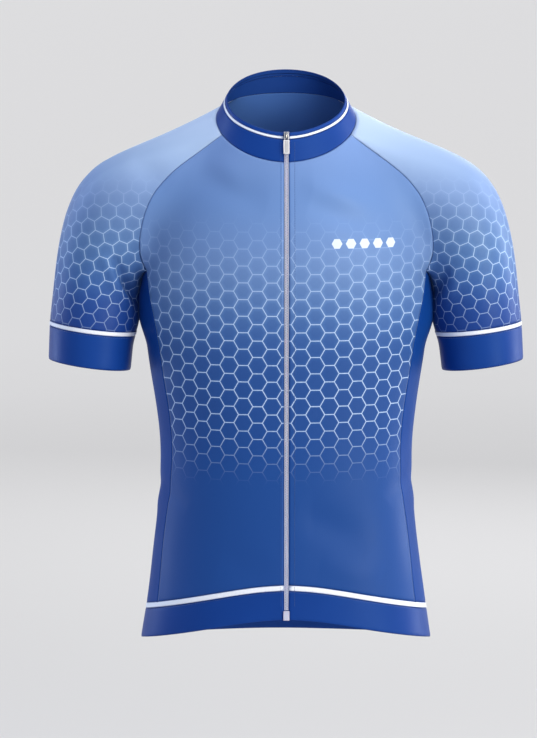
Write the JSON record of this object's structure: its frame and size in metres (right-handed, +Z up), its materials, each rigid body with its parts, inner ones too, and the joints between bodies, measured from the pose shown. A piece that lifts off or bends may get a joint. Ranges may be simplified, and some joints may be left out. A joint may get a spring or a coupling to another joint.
{
  "type": "cycling jersey",
  "caption": "Short-sleeved raglan cycling jersey with a full front zip, stand collar, banded cuffs and hem and pockets low on the back, in its worn form and hollow.",
  "frame": {"origin": "middle of the neck opening, level with the collar's top edge at the front, where the wearer holds the garment up", "axes": "+Z up, -Y to the garment's front, +X to the wearer's left"},
  "size_m": [0.5604, 0.2419, 0.6815],
  "materials": {
    "body_knit": "printed polyester knit, blue that deepens towards the hem",
    "side_knit": "deep blue polyester knit",
    "band_knit": "deep blue smooth elastic knit",
    "white_tape": "white woven tape",
    "zip_tape": "dark blue woven tape",
    "zip_coil": "pale grey nylon coil",
    "pull_plastic": "pale moulded plastic",
    "slider_metal": "satin grey"
  },
  "bodies": {
    "garment": {"front_left": "body_knit", "front_right": "body_knit", "back": "body_knit", "side_panel_left": "side_knit", "side_panel_right": "side_knit", "sleeve_left": "body_knit", "sleeve_right": "body_knit", "cuff_stripe_left": "white_tape", "cuff_stripe_right": "white_tape", "cuff_left": "band_knit", "cuff_right": "band_knit", "hem_stripe": "white_tape", "hem_band": "band_knit", "collar": "band_knit", "collar_piping": "white_tape", "collar_edge": "band_knit", "rear_pockets": "body_knit", "rear_pocket_binding": "band_knit", "zip_tape_left": "zip_tape", "zip_tape_right": "zip_tape", "zip_coil": "zip_coil", "zip_stop": "pull_plastic", "zip_slider": "slider_metal"},
    "pull_tab": {"pull_tab": "pull_plastic"}
  },
  "joints": [
    {"name": "pull_tab_swing", "type": "hinge", "parent": "garment", "child": "pull_tab", "pos_m": [0, -0.07377, -0.00346], "axis": [-1, 0, 0], "range_deg": [0, 160]}
  ]
}
